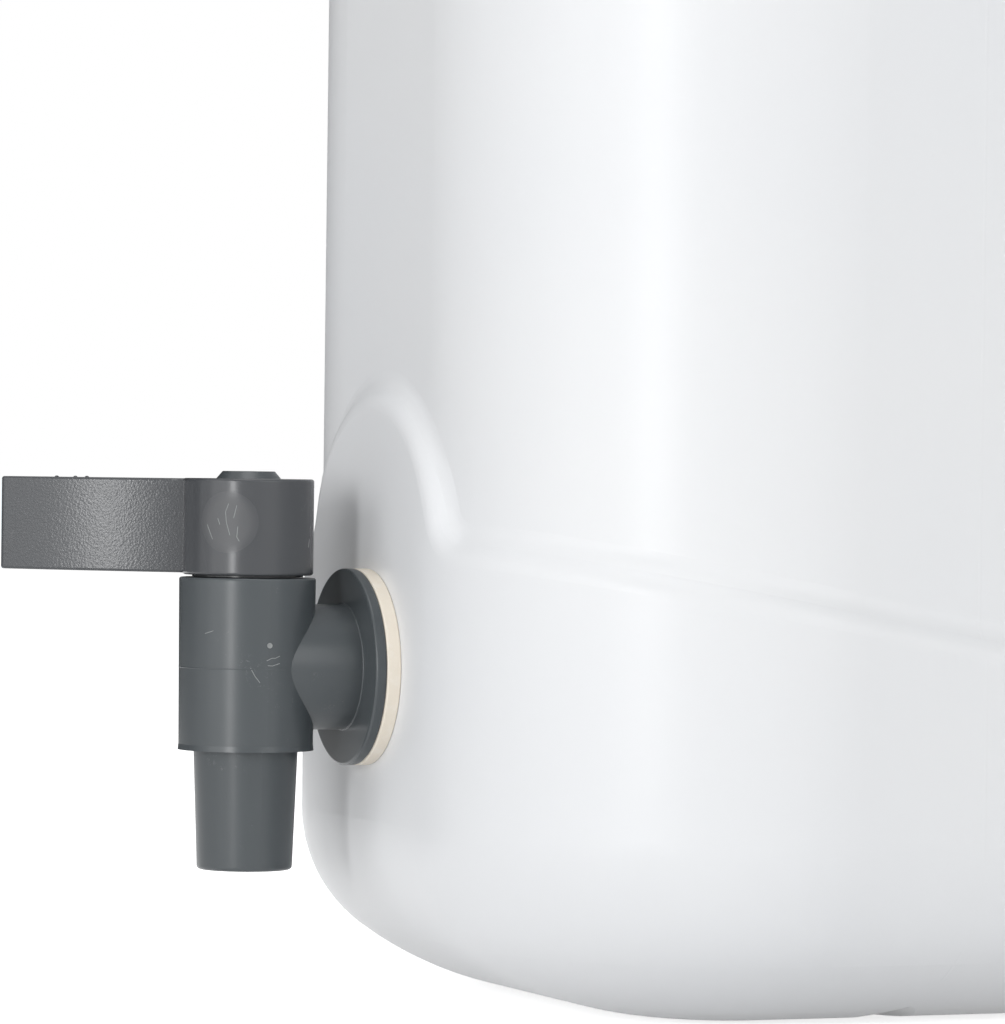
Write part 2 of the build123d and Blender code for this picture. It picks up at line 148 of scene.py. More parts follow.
def per_metre(size_mm: float) -> float:
    """The texture scale at which one feature is size_mm across."""
    return 1.0 / (size_mm * MM)


def seen_rays(tree: bpy.types.NodeTree) -> bpy.types.NodeSocket:
    """The share of a ray that shows the background: camera, glossy and transmitted rays.

    Args:
        tree: the node tree that gets the nodes.

    Returns:
        A socket that is 1 for those rays and 0 for the rest.
    """
    rays = add_node(tree, "ShaderNodeLightPath").outputs
    total = rays["Is Camera Ray"]
    for name in ("Is Glossy Ray", "Is Transmission Ray"):
        both = add_node(
            tree, "ShaderNodeMath", {"operation": "MAXIMUM"}, {0: total, 1: rays[name]}
        )
        total = both.outputs["Value"]
    return total


def new_material(name: str) -> tuple[bpy.types.Material, bpy.types.NodeTree, bpy.types.Node]:
    """Makes a material with an empty tree but for its output.

    Args:
        name: the material's name.

    Returns:
        The material, its node tree and its output node.
    """
    material = bpy.data.materials.new(name)
    material.use_nodes = True
    tree = material.node_tree
    tree.nodes.clear()
    output = tree.nodes.new("ShaderNodeOutputMaterial")
    return material, tree, output


@dataclass(frozen=True)
class Relief:
    """Relief of one size that is too fine for the mesh: noise that tilts the skin."""

    size_mm: float
    depth_mm: float
    strength: float
    detail: float = 2.0
    roughness: float = 0.5
    upright_scale: float = 1.0

    def add(
        self,
        tree: bpy.types.NodeTree,
        place: bpy.types.NodeSocket,
        below: bpy.types.NodeSocket | None = None,
    ) -> tuple[bpy.types.NodeSocket, bpy.types.NodeSocket]:
        """Adds the relief to a finish.

        Args:
            tree: the finish's node tree.
            place: the shaded point, in metres.
            below: the normal that a coarser relief has tilted already.

        Returns:
            The noise and the tilted normal.
        """
        if self.upright_scale != 1.0:
            scale = (1.0, 1.0, self.upright_scale)
            drawn = add_node(tree, "ShaderNodeMapping", {"Scale": scale}, {"Vector": place})
            place = drawn.outputs["Vector"]
        noise = add_node(
            tree,
            "ShaderNodeTexNoise",
            {"Scale": per_metre(self.size_mm), "Detail": self.detail, "Roughness": self.roughness},
            {"Vector": place},
        ).outputs["Fac"]
        bump = add_node(
            tree,
            "ShaderNodeBump",
            {"Strength": self.strength, "Distance": self.depth_mm * MM},
            {"Height": noise} if below is None else {"Height": noise, "Normal": below},
        )
        return noise, bump.outputs["Normal"]


@dataclass(frozen=True)
class BlowMouldedHdpe:
    """Natural high-density polyethylene, blow moulded.

    The resin is waxy and milky, and lets some light through, so it gives back less than
    white card does. The mould leaves a soft half gloss with a very shallow orange peel,
    and the parison's draw leaves faint upright lines. A few specks of scorched resin are
    trapped in the wall.
    """

    name: str = "natural_hdpe"
    colour: str = "#E5E6E7"
    thin_colour: str = "#DFE1E4"
    speck_colour: str = "#8F8D88"
    roughness: float = 0.33
    smoother: float = 0.03
    rougher: float = 0.05
    ior: float = 1.54
    specular: float = 0.2
    cloud_mm: float = 90.0
    speck_mm: float = 34.0
    speck_radius: float = 0.016
    speck_core: float = 0.6
    speck_share: float = 0.8
    draw: Relief = Relief(5.0, 0.25, 0.12, upright_scale=0.03)
    peel: Relief = Relief(7.0, 0.3, 0.16, detail=3.0)
    # The real grain is finer than 0.1 mm, which wouldn't show, so it is drawn coarser.
    grain: Relief = Relief(0.7, 0.03, 0.10)

    def build(self) -> bpy.types.Material:
        """Builds the vessel's finish.

        Returns:
            The material.
        """
        material, tree, output = new_material(self.name)
        place = add_node(tree, "ShaderNodeTexCoord").outputs["Object"]
        clouds = add_node(
            tree,
            "ShaderNodeTexNoise",
            {"Scale": per_metre(self.cloud_mm), "Detail": 2.0, "Roughness": 0.4},
            {"Vector": place},
        ).outputs["Fac"]
        tone = add_node(
            tree,
            "ShaderNodeMix",
            {"data_type": "RGBA", MIX_A: linear(self.colour), MIX_B: linear(self.thin_colour)},
            {"Factor": clouds},
        )
        cells = add_node(
            tree,
            "ShaderNodeTexVoronoi",
            {"Scale": per_metre(self.speck_mm), "Randomness": 1.0},
            {"Vector": place},
        )
        speck = add_node(
            tree,
            "ShaderNodeMapRange",
            {
                "From Min": self.speck_radius,
                "From Max": self.speck_radius * self.speck_core,
                "To Min": 0.0,
                "To Max": self.speck_share,
            },
            {"Value": cells.outputs["Distance"]},
        )
        colour = add_node(
            tree,
            "ShaderNodeMix",
            {"data_type": "RGBA", MIX_B: linear(self.speck_colour)},
            {"Factor": speck.outputs["Result"], MIX_A: tone.outputs[MIXED]},
        )
        normal = None
        for relief in (self.draw, self.peel, self.grain):
            normal = relief.add(tree, place, normal)[1]
        gloss = add_node(
            tree,
            "ShaderNodeMapRange",
            {"To Min": self.roughness - self.smoother, "To Max": self.roughness + self.rougher},
            {"Value": clouds},
        )
        shader = add_node(
            tree,
            "ShaderNodeBsdfPrincipled",
            {"IOR": self.ior, "Specular IOR Level": self.specular},
            {
                "Base Color": colour.outputs[MIXED],
                "Roughness": gloss.outputs["Result"],
                "Normal": normal,
            },
        )
        tree.links.new(shader.outputs["BSDF"], output.inputs["Surface"])
        return material


@dataclass(frozen=True)
class MouldedPolypropylene:
    """Pigmented polypropylene, injection moulded.

    Polished tools leave a satin skin that shows soft highlights. Handling leaves paler
    scuffs, which catch more light than the skin. With a pebble size the tool was etched,
    and the skin breaks its highlights up into fine grains. Where thumbs have rubbed one
    round place, it is duller and a little paler.
    """

    name: str
    colour: str
    scuff_colour: str
    roughness: float = 0.38
    smoother: float = 0.02
    rougher: float = 0.03
    ior: float = 1.49
    specular: float = 0.4
    mottle: Relief = Relief(6.0, 0.06, 0.15, detail=4.0, roughness=0.6)
    # Real grain and pebbles are about half as wide, which wouldn't show at this distance.
    grain: Relief = Relief(0.45, 0.012, 0.5, detail=3.0)
    pebble_mm: float = 0.0
    pebble_depth_mm: float = 0.045
    pebble_strength: float = 0.6
    pebble_axis: tuple[float, float, float] = (0.0, 0.0, 0.0)
    pebble_free_radius_mm: float = 15.8
    worn_place: tuple[float, float, float] | None = None
    worn_radius_mm: float = 6.2
    worn_edge_mm: float = 1.3
    worn_rougher: float = 0.22
    worn_paler: float = 0.14
    scuff_mm: float = 9.0
    scuff_band: tuple[float, float] = (0.60, 0.72)
    scratch_mm: float = 0.8
    scratch_band: tuple[float, float] = (0.56, 0.66)
    scuff_share: float = 0.5

    def build(self) -> bpy.types.Material:
        """Builds a polypropylene finish.

        Returns:
            The material.
        """
        material, tree, output = new_material(self.name)
        place = add_node(tree, "ShaderNodeTexCoord").outputs["Object"]
        paler = self.scuffs(tree, place)
        _noise, normal = self.grain.add(tree, place)
        mottle, normal = self.mottle.add(tree, place, normal)
        if self.pebble_mm > 0:
            normal = self.pebbles(tree, place, normal)
        gloss = add_node(
            tree,
            "ShaderNodeMapRange",
            {"To Min": self.roughness - self.smoother, "To Max": self.roughness + self.rougher},
            {"Value": mottle},
        ).outputs["Result"]
        if self.worn_place is not None:
            rubbed = add_node(
                tree,
                "ShaderNodeMapRange",
                {
                    "From Min": (self.worn_radius_mm + self.worn_edge_mm) * MM,
                    "From Max": (self.worn_radius_mm - self.worn_edge_mm) * MM,
                },
                {"Value": self.distance(tree, place, self.worn_place)},
            ).outputs["Result"]
            gloss = add_node(
                tree,
                "ShaderNodeMix",
                {"B": self.roughness + self.worn_rougher},
                {"Factor": rubbed, "A": gloss},
            ).outputs["Result"]
            paler = add_node(
                tree,
                "ShaderNodeMath",
                {"operation": "MULTIPLY_ADD", 1: self.worn_paler},
                {0: rubbed, 2: paler},
            ).outputs["Value"]
        colour = add_node(
            tree,
            "ShaderNodeMix",
            {"data_type": "RGBA", MIX_A: linear(self.colour), MIX_B: linear(self.scuff_colour)},
            {"Factor": paler},
        )
        shader = add_node(
            tree,
            "ShaderNodeBsdfPrincipled",
            {"IOR": self.ior, "Specular IOR Level": self.specular},
            {"Base Color": colour.outputs[MIXED], "Roughness": gloss, "Normal": normal},
        )
        tree.links.new(shader.outputs["BSDF"], output.inputs["Surface"])
        return material

    def scuffs(
        self, tree: bpy.types.NodeTree, place: bpy.types.NodeSocket
    ) -> bpy.types.NodeSocket:
        """Adds the scuffs: fine scratches that show only inside some patches.

        Args:
            tree: the finish's node tree.
            place: the shaded point, in metres.

        Returns:
            The share of the scuffs' colour at each point.
        """
        layers = (
            (self.scuff_mm, self.scuff_band, {"Detail": 3.0, "Roughness": 0.7}),
            (
                self.scratch_mm,
                self.scratch_band,
                {"Detail": 5.0, "Roughness": 0.8, "Distortion": 0.6},
            ),
        )
        shown = {}
        for number, (size_mm, (low, high), settings) in enumerate(layers):
            noise = add_node(
                tree,
                "ShaderNodeTexNoise",
                {"Scale": per_metre(size_mm), **settings},
                {"Vector": place},
            )
            shown[number] = add_node(
                tree,
                "ShaderNodeMapRange",
                {"From Min": low, "From Max": high},
                {"Value": noise.outputs["Fac"]},
            ).outputs["Result"]
        both = add_node(tree, "ShaderNodeMath", {"operation": "MULTIPLY"}, shown)
        share = add_node(
            tree,
            "ShaderNodeMath",
            {"operation": "MULTIPLY", 1: self.scuff_share},
            {0: both.outputs["Value"]},
        )
        return share.outputs["Value"]

    def pebbles(
        self,
        tree: bpy.types.NodeTree,
        place: bpy.types.NodeSocket,
        below: bpy.types.NodeSocket,
    ) -> bpy.types.NodeSocket:
        """Adds the etched tool's pebbles, all but round the axis, where it was polished.

        Args:
            tree: the finish's node tree.
            place: the shaded point, in metres.
            below: the normal that they tilt further.

        Returns:
            The tilted normal.
        """
        cells = add_node(
            tree,
            "ShaderNodeTexVoronoi",
            {"feature": "SMOOTH_F1", "Scale": per_metre(self.pebble_mm), "Smoothness": 0.6},
            {"Vector": place},
        )
        plan = add_node(tree, "ShaderNodeMapping", {"Scale": (1, 1, 0)}, {"Vector": place})
        etched = add_node(
            tree,
            "ShaderNodeMapRange",
            {
                "From Min": self.pebble_free_radius_mm * MM,
                "From Max": (self.pebble_free_radius_mm + self.pebble_mm) * MM,
                "To Max": self.pebble_strength,
            },
            {"Value": self.distance(tree, plan.outputs["Vector"], self.pebble_axis)},
        )
        bump = add_node(
            tree,
            "ShaderNodeBump",
            {"Distance": self.pebble_depth_mm * MM},
            {
                "Strength": etched.outputs["Result"],
                "Height": cells.outputs["Distance"],
                "Normal": below,
            },
        )
        return bump.outputs["Normal"]

    @staticmethod
    def distance(
        tree: bpy.types.NodeTree,
        place: bpy.types.NodeSocket,
        centre: tuple[float, float, float],
    ) -> bpy.types.NodeSocket:
        """The distance of each shaded point from a fixed one.

        Args:
            tree: the node tree that gets the node.
            place: the shaded point, in metres.
            centre: the fixed point, in metres.

        Returns:
            The socket with the distance.
        """
        apart = add_node(
            tree, "ShaderNodeVectorMath", {"operation": "DISTANCE", 1: centre}, {0: place}
        )
        return apart.outputs["Value"]


@dataclass(frozen=True)
class Elastomer:
    """A moulded seal of silicone, foam or black rubber.

    It is matt and a little tacky, so it shows no sharp highlight, and pale dust clings to
    it in patches.
    """

    name: str
    colour: str
    dust_colour: str
    roughness: float = 0.6
    ior: float = 1.42
    dust_mm: float = 3.0
    dust_band: tuple[float, float] = (0.5, 0.8)
    dust_share: float = 0.6
    # The real grain is finer than 0.1 mm, which wouldn't show, so it is drawn coarser.
    grain: Relief = Relief(0.5, 0.03, 0.4)

    def build(self) -> bpy.types.Material:
        """Builds a seal's finish.

        Returns:
            The material.
        """
        material, tree, output = new_material(self.name)
        place = add_node(tree, "ShaderNodeTexCoord").outputs["Object"]
        dust = add_node(
            tree,
            "ShaderNodeTexNoise",
            {"Scale": per_metre(self.dust_mm), "Detail": 5.0, "Roughness": 0.65},
            {"Vector": place},
        )
        low, high = self.dust_band
        dusty = add_node(
            tree,
            "ShaderNodeMapRange",
            {"From Min": low, "From Max": high, "To Max": self.dust_share},
            {"Value": dust.outputs["Fac"]},
        )
        colour = add_node(
            tree,
            "ShaderNodeMix",
            {"data_type": "RGBA", MIX_A: linear(self.colour), MIX_B: linear(self.dust_colour)},
            {"Factor": dusty.outputs["Result"]},
        )
        _noise, normal = self.grain.add(tree, place)
        shader = add_node(
            tree,
            "ShaderNodeBsdfPrincipled",
            {"Roughness": self.roughness, "IOR": self.ior},
            {"Base Color": colour.outputs[MIXED], "Normal": normal},
        )
        tree.links.new(shader.outputs["BSDF"], output.inputs["Surface"])
        return material


@dataclass(frozen=True)
class PaleSweep:
    """The studio's floor: matt white card that stays white to the camera and holds a shadow."""

    name: str = "pale_sweep"
    colour: str = "#F7F7F7"
    glow: float = 0.76

    def build(self) -> bpy.types.Material:
        """Builds the floor's finish.

        Returns:
            The material.
        """
        material, tree, output = new_material(self.name)
        colour = {"Color": linear(self.colour)}
        card = add_node(tree, "ShaderNodeBsdfDiffuse", colour).outputs["BSDF"]
        glow = add_node(tree, "ShaderNodeEmission", {"Strength": self.glow})
        lit = add_node(tree, "ShaderNodeAddShader", links={0: card, 1: glow.outputs["Emission"]})
        seen = add_node(
            tree,
            "ShaderNodeMixShader",
            links={"Fac": seen_rays(tree), 1: card, 2: lit.outputs["Shader"]},
        )
        tree.links.new(seen.outputs["Shader"], output.inputs["Surface"])
        return material


@dataclass(frozen=True)
class BlackCard:
    """Matt black card, as photographers stand beside glossy things: it gives back no light, and
    here paints a dark reflection in them.
    """

    name: str = "black_card"
    colour: str = "#0B0B0B"

    def build(self) -> bpy.types.Material:
        """Builds the card's finish.

        Returns:
            The material.
        """
        material, tree, output = new_material(self.name)
        card = add_node(tree, "ShaderNodeBsdfDiffuse", {"Color": linear(self.colour)})
        tree.links.new(card.outputs["BSDF"], output.inputs["Surface"])
        return material


class Finishes:
    """Every finish of the carboy, built once and shared by its pieces."""

    def __init__(self, plug_axis: Vector, worn_place: Vector) -> None:
        """Builds the materials.

        Args:
            plug_axis: where the tap's turning axis meets the floor.
            worn_place: the middle of the rubbed place on the lever's head.
        """
        self.by_slot: dict[Slot, bpy.types.Material] = {
            Slot.VESSEL: BlowMouldedHdpe().build(),
            Slot.CAP: MouldedPolypropylene(
                "white_polypropylene", "#E9EAEB", "#F4F4F4", roughness=0.36
            ).build(),
            Slot.LINER: Elastomer("foam_liner", "#F0F0EE", "#FFFFFF", roughness=0.7).build(),
            Slot.TAP: MouldedPolypropylene(
                "grey_polypropylene", "#494E51", "#8A8D8F", roughness=0.31
            ).build(),
            Slot.LEVER: MouldedPolypropylene(
                "pebbled_polypropylene",
                "#4A4C4F",
                "#8A8A8A",
                roughness=0.24,
                specular=0.35,
                pebble_mm=0.5,
                pebble_axis=tuple(plug_axis),
                worn_place=tuple(worn_place),
            ).build(),
            Slot.GASKET: Elastomer("cream_silicone", "#EDE4D5", "#F6F1E8", roughness=0.5).build(),
            Slot.O_RING: Elastomer("black_rubber", "#1E1E1F", "#3A3A3A", roughness=0.5).build(),
        }
        # Polypropylene whitens where something has scored it.
        self.whitened = MouldedPolypropylene(
            "whitened_polypropylene", "#8F9292", "#B4B5B3", roughness=0.5
        ).build()

    def dress(
        self, piece: bpy.types.Object, slot: Slot, finish: bpy.types.Material | None = None
    ) -> None:
        """Gives a piece one finish all over, the slot's own unless another is given.

        Args:
            piece: the mesh object.
            slot: the record's slot that the finish belongs to.
            finish: a finish in place of the slot's own.
        """
        piece.data.materials.clear()
        piece.data.materials.append(finish or self.by_slot[slot])


def smooth_by_angle(piece: bpy.types.Object, limit_degrees: float) -> None:
    """Shades a mesh smooth, with edges sharper than the limit kept crisp.

    Args:
        piece: the mesh object.
        limit_degrees: the largest angle between two faces that still reads as one surface.
    """
    mesh = piece.data
    if mesh.has_custom_normals:
        with bpy.context.temp_override(object=piece, active_object=piece):
            bpy.ops.mesh.customdata_custom_splitnormals_clear()
    mesh.polygons.foreach_set("use_smooth", [True] * len(mesh.polygons))
    mesh.set_sharp_from_angle(angle=math.radians(limit_degrees))
    mesh.update()


def mesh_piece(
    name: str, vertices: Sequence[Vector], faces: Iterable[Sequence[int]]
) -> bpy.types.Object:
    """Makes a mesh object and puts it in the scene.

    Args:
        name: the piece's name.
        vertices: its points, in metres.
        faces: its faces, as indices of the points.

    Returns:
        The new object.
    """
    mesh = bpy.data.meshes.new(name)
    mesh.from_pydata([tuple(v) for v in vertices], [], [tuple(f) for f in faces])
    mesh.validate()
    piece = bpy.data.objects.new(name, mesh)
    bpy.context.scene.collection.objects.link(piece)
    builder = bmesh.new()
    builder.from_mesh(mesh)
    bmesh.ops.recalc_face_normals(builder, faces=builder.faces)
    builder.to_mesh(mesh)
    builder.free()
    return piece


def swept(
    name: str, sections: Sequence[Sequence[Vector]], looped: bool = False
) -> bpy.types.Object:
    """Skins a closed solid over a row of sections with the same number of points.

    Args:
        name: the piece's name.
        sections: rings of points, in order along the sweep.
        looped: whether the last section joins the first. If not, both ends are capped.

    Returns:
        The new object.
    """
    size = len(sections[0])
    vertices = [point for section in sections for point in section]
    spans = len(sections) if looped else len(sections) - 1
    faces: list[Sequence[int]] = []
    for span in range(spans):
        here = span * size
        there = ((span + 1) % len(sections)) * size
        for corner in range(size):
            after = (corner + 1) % size
            faces.append((here + corner, here + after, there + after, there + corner))
    if not looped:
        faces.append(tuple(range(size)))
        last = (len(sections) - 1) * size
        faces.append(tuple(last + corner for corner in reversed(range(size))))
    return mesh_piece(name, vertices, faces)


@dataclass
class HelicalThread:
    """A right-handed thread ridge that runs out to nothing at both ends.

    The ridge stands on a cylinder. A negative height makes it stand inwards.
    """

    name: str
    centre: Vector
    axis: Vector
    start_side: Vector
    radius: float
    height: float
    pitch: float
    turns: float
    root_width: float
    crest_width: float
    steps_per_turn: int = 72
    run_out_turns: float = 0.12
    bite: float = 0.15 * MM
    crease_degrees: float = 40.0

    def build(self) -> bpy.types.Object:
        """Builds the ridge.

        Returns:
            The ridge as one closed mesh.
        """
        across = self.axis.cross(self.start_side)
        steps = int(self.turns * self.steps_per_turn)
        sign = math.copysign(1.0, self.height)
        sections = []
        for step in range(steps + 1):
            turn = step / self.steps_per_turn
            from_end = min(turn, self.turns - turn)
            swell = min(1.0, max(from_end, 0.0) / self.run_out_turns)
            lowest = sign * self.bite * 0.5
            rise = lowest + (self.height - lowest) * swell
            out = self.start_side * math.cos(turn * FULL_TURN)
            out += across * math.sin(turn * FULL_TURN)
            middle = self.centre + self.axis * (turn * self.pitch)
            root = self.radius - sign * self.bite
            crest = self.radius + rise
            half_root = self.root_width / 2
            half_crest = self.crest_width / 2
            sections.append(
                [
                    middle + out * root - self.axis * half_root,
                    middle + out * crest - self.axis * half_crest,
                    middle + out * crest + self.axis * half_crest,
                    middle + out * root + self.axis * half_root,
                ]
            )
        ridge = swept(self.name, sections)
        smooth_by_angle(ridge, self.crease_degrees)
        return ridge


@dataclass
class SurfaceBead:
    """A fine raised line of moulded plastic that follows the skin of a CAD node."""

    width: float
    height: float
    sink: float = 0.1 * MM
    arc_points: int = 5
    crease_degrees: float = 60.0

    def build(
        self, name: str, path: Sequence[Vector], normals: Sequence[Vector]
    ) -> bpy.types.Object:
        """Lays the bead along a path.

        Args:
            name: the bead's name.
            path: points on the skin.
            normals: the skin's outward normal at each point.

        Returns:
            The bead as one closed mesh.
        """
        sections = []
        last = len(path) - 1
        for index, (point, normal) in enumerate(zip(path, normals)):
            height = 0.0 if index in (0, last) else self.height
            onward = path[min(index + 1, last)] - path[max(index - 1, 0)]
            side = normal.cross(onward).normalized()
            section = [point - side * self.width / 2 - normal * self.sink]
            for step in range(self.arc_points):
                angle = math.pi * step / (self.arc_points - 1)
                across = -math.cos(angle) * self.width / 2
                section.append(point + side * across + normal * height * math.sin(angle))
            section.append(point + side * self.width / 2 - normal * self.sink)
            sections.append(section)
        bead = swept(name, sections)
        smooth_by_angle(bead, self.crease_degrees)
        return bead


@dataclass
class Pip:
    """A small round mark of moulding: a low dome, or a ring with a dished middle."""

    name: str
    radius: float
    height: float
    sides: int = 20
    rings: int = 5
    dished: bool = False
    crease_degrees: float = 50.0

    def profile(self) -> list[tuple[float, float]]:
        """The mark's section, as shares of its radius and of its height."""
        if self.dished:
            return [(1.0, -0.6), (1.0, 0.5), (0.92, 0.95), (0.8, 1.0), (0.68, 0.6), (0.3, 0.25)]
        angles = [math.pi / 2 * ring / self.rings for ring in range(1, self.rings)]
        return [(1.0, -0.6), (1.0, 0.0), *((math.cos(a), math.sin(a)) for a in angles)]

    def build(self, place: Vector, normal: Vector) -> bpy.types.Object:
        """Builds the mark on a surface.

        Args:
            place: its centre on the surface.
            normal: the surface's outward normal there.

        Returns:
            The mark as one closed mesh.
        """
        side = normal.orthogonal().normalized()
        across = normal.cross(side)
        profile = self.profile()
        vertices = []
        for reach, lift in profile:
            for step in range(self.sides):
                angle = FULL_TURN * step / self.sides
                spoke = side * math.cos(angle) + across * math.sin(angle)
                out = spoke * reach * self.radius
                vertices.append(place + out + normal * lift * self.height)
        faces: list[Sequence[int]] = []
        for ring in range(len(profile) - 1):
            for step in range(self.sides):
                after = (step + 1) % self.sides
                low = ring * self.sides
                high = low + self.sides
                faces.append((low + step, low + after, high + after, high + step))
        faces.append(tuple(range(self.sides)))
        top = (len(profile) - 1) * self.sides
        faces.append(tuple(top + step for step in range(self.sides)))
        pip = mesh_piece(self.name, vertices, faces)
        smooth_by_angle(pip, self.crease_degrees)
        return pip


def shares(steps: int) -> list[float]:
    """Even shares of a run, from 0 to 1."""
    return [step / steps for step in range(steps + 1)]


class Skin:
    """The outside of a CAD node, to lay fine details on."""

    def __init__(self, node: bpy.types.Object) -> None:
        """Reads the node's mesh.

        Args:
            node: the CAD node's object.
        """
        builder = bmesh.new()
        builder.from_mesh(node.data)
        self.tree = BVHTree.FromBMesh(builder)
        builder.free()

    def hit(self, start: Vector, direction: Vector) -> tuple[Vector, Vector] | None:
        """Finds where a ray meets the skin.

        Args:
            start: where the ray starts, outside the node.
            direction: where it goes.

        Returns:
            The point and its outward normal, or None if the ray misses.
        """
        point, normal, _index, _distance = self.tree.ray_cast(start, direction.normalized())
        if point is None:
            return None
        outward = normal if normal.dot(direction) < 0 else -normal
        return point, outward

    def trace(
        self, starts: Sequence[Vector], directions: Sequence[Vector]
    ) -> tuple[list[Vector], list[Vector]]:
        """Casts a fan of rays and keeps what they meet, in order.

        Args:
            starts: where each ray starts.
            directions: where each goes.

        Returns:
            The points and their outward normals.
        """
        points = []
        normals = []
        for start, direction in zip(starts, directions):
            found = self.hit(start, direction)
            if found is not None:
                points.append(found[0])
                normals.append(found[1])
        return points, normals


@dataclass
class Vessel:
    """The blow-moulded vessel with its neck thread, seam and pinch-off line."""

    nodes: dict[str, bpy.types.Object]
    finishes: Finishes
    neck_radius: float = 30.0 * MM
    thread_height: float = 1.5 * MM
    thread_pitch: float = 6.0 * MM
    thread_turns: float = 1.9
    thread_root: float = 2.6 * MM
    thread_crest: float = 1.2 * MM
    thread_start_below_rim: float = 15.0 * MM
    seam_width: float = 0.8 * MM
    seam_height: float = 0.02 * MM
    seam_points: int = 220
    seam_bottom: float = 12.0 * MM
    seam_top_below_rim: float = 66.0 * MM
    pinch_width: float = 1.6 * MM
    pinch_height: float = 0.5 * MM
    pinch_points: int = 24
    pinch_runs: tuple[tuple[str, float, float], ...] = (
        ("pinch_off_weld_left", -72.0 * MM, -40.0 * MM),
        ("pinch_off_weld_middle", -15.0 * MM, 15.0 * MM),
        ("pinch_off_weld_right", 40.0 * MM, 72.0 * MM),
    )
    probe_depth: float = 50.0 * MM
    crease_degrees: float = 28.0

    def __post_init__(self) -> None:
        """Reads the shell's skin once for all that is laid on it."""
        self.skin = Skin(self.nodes["vessel"])

    def build(self) -> list[bpy.types.Object]:
        """Dresses the shell and adds its fine mouldings.

        Returns:
            The pieces that were added.
        """
        shell = self.nodes["vessel"]
        smooth_by_angle(shell, self.crease_degrees)
        self.finishes.dress(shell, Slot.VESSEL)
        pieces = [self.neck_thread(), *self.seams(), *self.pinch_off()]
        for piece in pieces:
            self.finishes.dress(piece, Slot.VESSEL)
            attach(piece, Body.VESSEL.value)
        return pieces

    def neck_thread(self) -> bpy.types.Object:
        """Builds the thread under the cap."""
        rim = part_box("vessel")[1].z
        return HelicalThread(
            name="neck_thread",
            centre=Vector((0, 0, rim - self.thread_start_below_rim)),
            axis=UP,
            start_side=Vector((0, -1, 0)),
            radius=self.neck_radius,
            height=self.thread_height,
            pitch=self.thread_pitch,
            turns=self.thread_turns,
            root_width=self.thread_root,
            crest_width=self.thread_crest,
        ).build()

    def seams(self) -> list[bpy.types.Object]:
        """Builds the two upright lines where the mould halves met."""
        low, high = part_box("vessel")
        bottom = low.z + self.seam_bottom
        top = high.z - self.seam_top_below_rim
        bead = SurfaceBead(self.seam_width, self.seam_height)
        seams = []
        for name, side in (("mould_seam_right", 1), ("mould_seam_left", -1)):
            starts = [
                Vector((side * high.x * 1.5, 0, bottom + (top - bottom) * share))
                for share in shares(self.seam_points)
            ]
            traced = self.skin.trace(starts, [Vector((-side, 0, 0))] * len(starts))
            seams.append(bead.build(name, *traced))
        return seams

    def pinch_off(self) -> list[bpy.types.Object]:
        """Builds the weld under the floor, where the mould pinched the parison shut.

        It shows in the push-up and in the two reliefs, and stays clear of the foot.
        """
        bead = SurfaceBead(self.pinch_width, self.pinch_height)
        welds = []
        for name, first, last in self.pinch_runs:
            starts = [
                Vector((first + (last - first) * share, 0, -self.probe_depth))
                for share in shares(self.pinch_points)
            ]
            welds.append(bead.build(name, *self.skin.trace(starts, [UP] * len(starts))))
        return welds


@dataclass
class ScrewCap:
    """The cap with its inside thread, and the liner that it presses on the rim."""

    nodes: dict[str, bpy.types.Object]
    finishes: Finishes
    bore_radius: float = 32.2 * MM
    thread_height: float = 1.6 * MM
    thread_pitch: float = 6.0 * MM
    thread_turns: float = 1.6
    thread_root: float = 2.4 * MM
    thread_crest: float = 1.0 * MM
    thread_start_above_skirt: float = 3.2 * MM
    crease_degrees: float = 30.0

    def build(self) -> list[bpy.types.Object]:
        """Dresses the cap and its liner and adds the thread.

        Returns:
            The pieces that were added.
        """
        for name, slot in (("cap", Slot.CAP), ("cap_liner", Slot.LINER)):
            smooth_by_angle(self.nodes[name], self.crease_degrees)
            self.finishes.dress(self.nodes[name], slot)
        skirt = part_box("cap")[0].z
        thread = HelicalThread(
            name="cap_thread",
            centre=Vector((0, 0, skirt + self.thread_start_above_skirt)),
            axis=UP,
            start_side=Vector((0, -1, 0)),
            radius=self.bore_radius,
            height=-self.thread_height,
            pitch=self.thread_pitch,
            turns=self.thread_turns,
            root_width=self.thread_root,
            crest_width=self.thread_crest,
        ).build()
        self.finishes.dress(thread, Slot.CAP)
        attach(thread, Body.CAP.value)
        return [thread]


